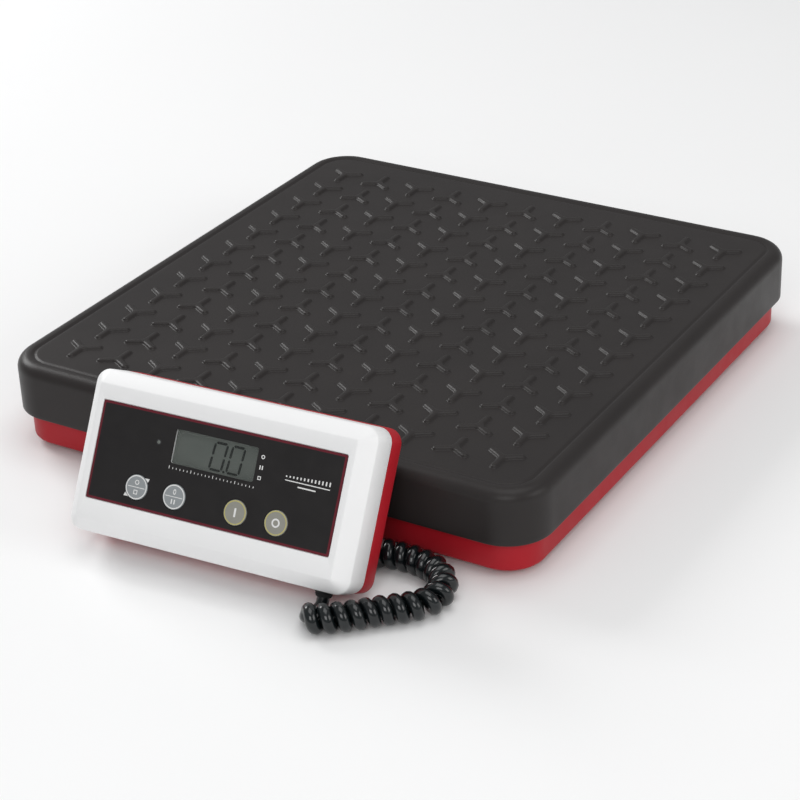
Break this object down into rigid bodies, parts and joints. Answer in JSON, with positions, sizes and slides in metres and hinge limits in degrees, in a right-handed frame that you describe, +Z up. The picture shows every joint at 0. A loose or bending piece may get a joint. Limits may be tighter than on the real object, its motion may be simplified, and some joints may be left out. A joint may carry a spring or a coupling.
{
  "type": "platform shipping scale",
  "caption": "Low square weighing platform with a pressed black steel deck on a red tray, and a separate tilted display unit in front, joined to it by a black curly cord.",
  "frame": {"origin": "on the floor, in the middle of the box of the platform and display, cord left out", "axes": "+X to the object's right seen from its front, +Y from the display towards the back of the platform, +Z up"},
  "size_m": [0.3048, 0.3972, 0.0815],
  "materials": {
    "deck_paint": "satin dark brown-grey enamel on pressed steel",
    "red_plastic": "satin moulded plastic",
    "white_plastic": "fine satin moulded plastic",
    "black_rubber": "matt",
    "zinc_steel": "zinc plated",
    "cell_aluminium": "milled",
    "cord_jacket": "glossy flexible black plastic",
    "overlay_film": "printed polyester film",
    "clear_window": "clear, slightly grey",
    "lcd_cell": "grey-green liquid crystal cell",
    "key_print": "printed grey key faces",
    "board_laminate": "green solder mask",
    "black_plastic": "moulded",
    "battery_case": "printed tin"
  },
  "bodies": {
    "base": {"base_tray": "red_plastic", "base_plate": "zinc_steel", "plate_screw_1": "zinc_steel", "plate_screw_2": "zinc_steel", "plate_screw_3": "zinc_steel", "plate_screw_4": "zinc_steel", "foot_1": "black_rubber", "foot_2": "black_rubber", "foot_3": "black_rubber", "foot_4": "black_rubber", "cell_spacer_fixed": "zinc_steel", "load_cell": "cell_aluminium", "cell_bolt_fixed_1": "zinc_steel", "cell_bolt_fixed_2": "zinc_steel", "overload_stop_1": "zinc_steel", "overload_stop_2": "zinc_steel", "overload_stop_3": "zinc_steel", "overload_stop_4": "zinc_steel", "cord_gland": "black_rubber", "cord_lead": "cord_jacket", "cord_coil": "cord_jacket", "cord_tail": "cord_jacket", "cell_wire": "cord_jacket"},
    "weighing": {"cell_spacer_free": "zinc_steel", "cell_bolt_free_1": "zinc_steel", "cell_bolt_free_2": "zinc_steel", "weighing_frame": "zinc_steel", "deck_pad_1": "black_rubber", "deck_pad_2": "black_rubber", "deck_pad_3": "black_rubber", "deck_pad_4": "black_rubber"},
    "deck": {"deck": "deck_paint"},
    "display": {"display_front": "white_plastic", "display_back": "red_plastic", "case_screw_1": "zinc_steel", "case_screw_2": "zinc_steel", "case_screw_3": "zinc_steel", "case_screw_4": "zinc_steel", "overlay": "overlay_film", "lcd_window": "clear_window", "lcd_panel": "lcd_cell", "circuit_board": "board_laminate", "switch_units": "black_plastic", "switch_zero_hold": "black_plastic", "switch_on": "black_plastic", "switch_off": "black_plastic", "battery": "battery_case", "battery_snap": "black_plastic", "display_foot_left": "black_rubber", "display_foot_right": "black_rubber", "display_cord_relief": "black_rubber"},
    "key_units": {"button_units": "key_print"},
    "key_zero_hold": {"button_zero_hold": "key_print"},
    "key_on": {"button_on": "key_print"},
    "key_off": {"button_off": "key_print"},
    "battery_cover": {"battery_door": "red_plastic"}
  },
  "joints": [
    {"name": "weigh", "type": "slide", "parent": "base", "child": "weighing", "axis": [0, 0, 1], "range_m": [-0.0004, 0], "stiffness_N_per_m": 400000},
    {"name": "deck_lift", "type": "slide", "parent": "weighing", "child": "deck", "axis": [0, 0, 1], "range_m": [0, 0.06]},
    {"name": "display_lift", "type": "slide", "parent": "base", "child": "display", "axis": [0, 0, 1], "range_m": [0, 0.04]},
    {"name": "press_units", "type": "slide", "parent": "display", "child": "key_units", "axis": [-0.0501, 0.8681, -0.4939], "range_m": [0, 0.0006], "stiffness_N_per_m": 1500, "springref_m": -0.0004},
    {"name": "press_zero_hold", "type": "slide", "parent": "display", "child": "key_zero_hold", "axis": [-0.0501, 0.8681, -0.4939], "range_m": [0, 0.0006], "stiffness_N_per_m": 1500, "springref_m": -0.0004},
    {"name": "press_on", "type": "slide", "parent": "display", "child": "key_on", "axis": [-0.0501, 0.8681, -0.4939], "range_m": [0, 0.0006], "stiffness_N_per_m": 1500, "springref_m": -0.0004},
    {"name": "press_off", "type": "slide", "parent": "display", "child": "key_off", "axis": [-0.0501, 0.8681, -0.4939], "range_m": [0, 0.0006], "stiffness_N_per_m": 1500, "springref_m": -0.0004},
    {"name": "battery_door_off", "type": "slide", "parent": "display", "child": "battery_cover", "axis": [-0.0501, 0.8681, -0.4939], "range_m": [0, 0.01]}
  ]
}
